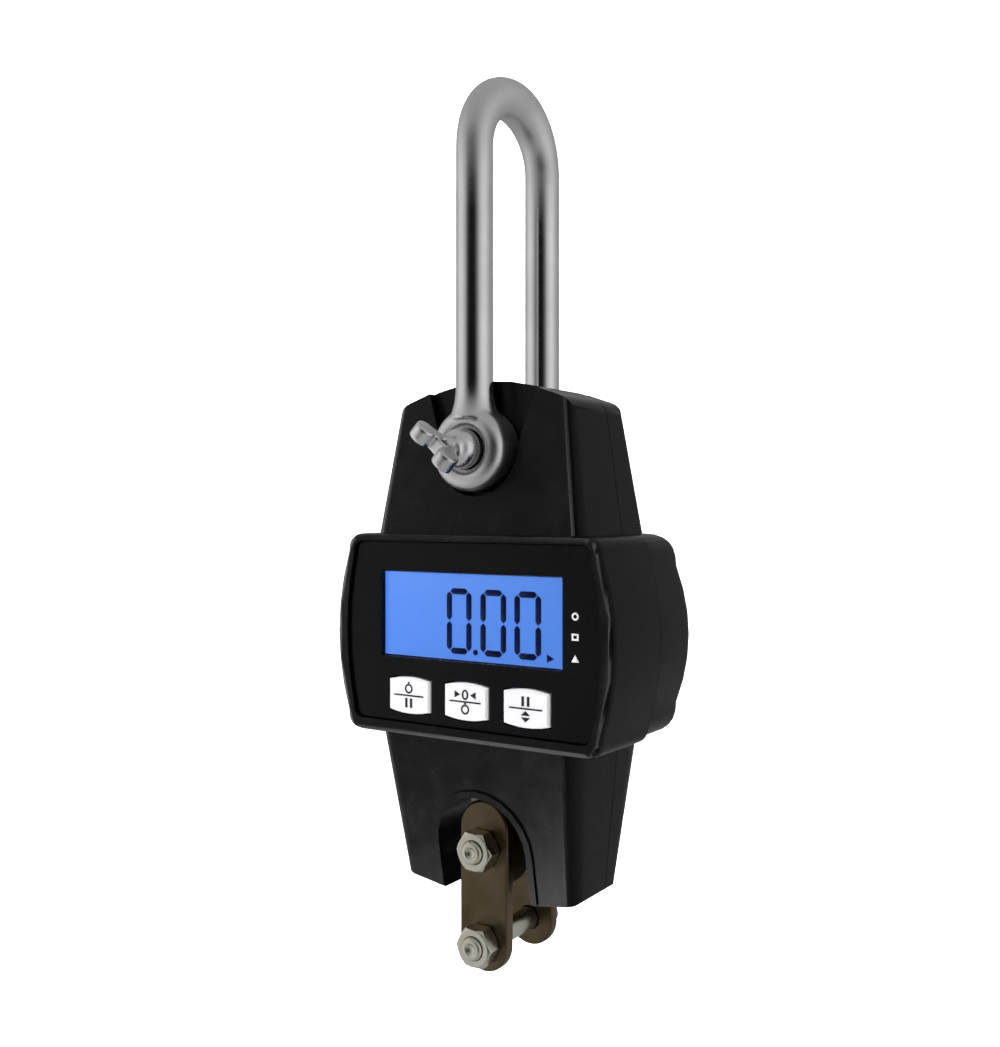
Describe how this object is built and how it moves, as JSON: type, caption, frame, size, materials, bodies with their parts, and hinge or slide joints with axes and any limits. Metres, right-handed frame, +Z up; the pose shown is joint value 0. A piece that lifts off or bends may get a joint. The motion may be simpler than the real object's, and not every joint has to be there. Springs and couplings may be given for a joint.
{
  "type": "hanging digital scale",
  "caption": "Hanging digital scale with a long shackle on top, a lit display box with push buttons round a load cell, and a bolted two-plate load link below.",
  "frame": {"origin": "inside top of the shackle bow, where the scale hangs from its support", "axes": "+Z up, the display faces -Y, +X to the right as seen from the front; the bow lies in the Y-Z plane"},
  "size_m": [0.071, 0.0506, 0.1951],
  "materials": {
    "black_plastic": "satin textured",
    "panel_plastic": "gloss",
    "button_rubber": "satin",
    "grey_plastic": "matte",
    "window": "clear gloss",
    "display": "lit",
    "light_guide": "satin",
    "circuit_green": "solder mask",
    "shackle_steel": "polished",
    "cell_alloy": "machined",
    "zinc_steel": "yellow zinc",
    "nut_steel": "zinc plated",
    "screw_steel": "zinc plated",
    "contact_brass": "plated",
    "battery_jacket": "gloss",
    "gauge_foil": "foil on film",
    "wire_red": "satin"
  },
  "bodies": {
    "shackle": {"shackle_bow": "shackle_steel"},
    "pin": {"shackle_pin": "shackle_steel"},
    "housing": {"front_case": "black_plastic", "rear_case": "black_plastic", "front_panel": "panel_plastic", "lcd_window": "window", "lcd_glass": "display", "backlight": "light_guide", "switch_body_1": "grey_plastic", "switch_body_2": "grey_plastic", "switch_body_3": "grey_plastic", "circuit_board": "circuit_green", "main_chip": "panel_plastic", "board_screw_1": "screw_steel", "board_screw_2": "screw_steel", "board_screw_3": "screw_steel", "board_screw_4": "screw_steel", "load_cell": "cell_alloy", "strain_gauge_left": "gauge_foil", "strain_gauge_right": "gauge_foil", "load_cell_cable": "wire_red", "battery_cell_1": "battery_jacket", "contact_plate_1": "contact_brass", "contact_spring_1": "screw_steel", "battery_cell_2": "battery_jacket", "contact_plate_2": "contact_brass", "contact_spring_2": "screw_steel", "battery_cell_3": "battery_jacket", "contact_plate_3": "contact_brass", "contact_spring_3": "screw_steel", "case_screw_1": "screw_steel", "case_screw_2": "screw_steel", "case_screw_3": "screw_steel", "case_screw_4": "screw_steel"},
    "door": {"battery_door": "black_plastic", "door_screw": "screw_steel"},
    "link": {"link_plate_front": "zinc_steel", "link_plate_rear": "zinc_steel", "upper_bolt": "nut_steel", "upper_nut": "nut_steel", "lower_bolt": "nut_steel", "lower_nut": "nut_steel"},
    "key_1": {"button_1": "button_rubber", "switch_plunger_1": "grey_plastic"},
    "key_2": {"button_2": "button_rubber", "switch_plunger_2": "grey_plastic"},
    "key_3": {"button_3": "button_rubber", "switch_plunger_3": "grey_plastic"}
  },
  "joints": [
    {"name": "housing_swing", "type": "hinge", "parent": "shackle", "child": "housing", "pos_m": [0, 0, -0.0737], "axis": [0, 1, 0], "range_deg": [-30, 30]},
    {"name": "pin_withdraw", "type": "slide", "parent": "shackle", "child": "pin", "axis": [0, -1, 0], "range_m": [0, 0.038]},
    {"name": "button_1_press", "type": "slide", "parent": "housing", "child": "key_1", "axis": [0, 1, 0], "range_m": [0, 0.0007], "stiffness_N_per_m": 1500},
    {"name": "button_2_press", "type": "slide", "parent": "housing", "child": "key_2", "axis": [0, 1, 0], "range_m": [0, 0.0007], "stiffness_N_per_m": 1500},
    {"name": "button_3_press", "type": "slide", "parent": "housing", "child": "key_3", "axis": [0, 1, 0], "range_m": [0, 0.0007], "stiffness_N_per_m": 1500},
    {"name": "door_lift_off", "type": "slide", "parent": "housing", "child": "door", "axis": [0, 1, 0], "range_m": [0, 0.03]},
    {"name": "link_swing", "type": "hinge", "parent": "housing", "child": "link", "pos_m": [0, 0, -0.1593], "axis": [0, 1, 0], "range_deg": [-20, 20]}
  ]
}
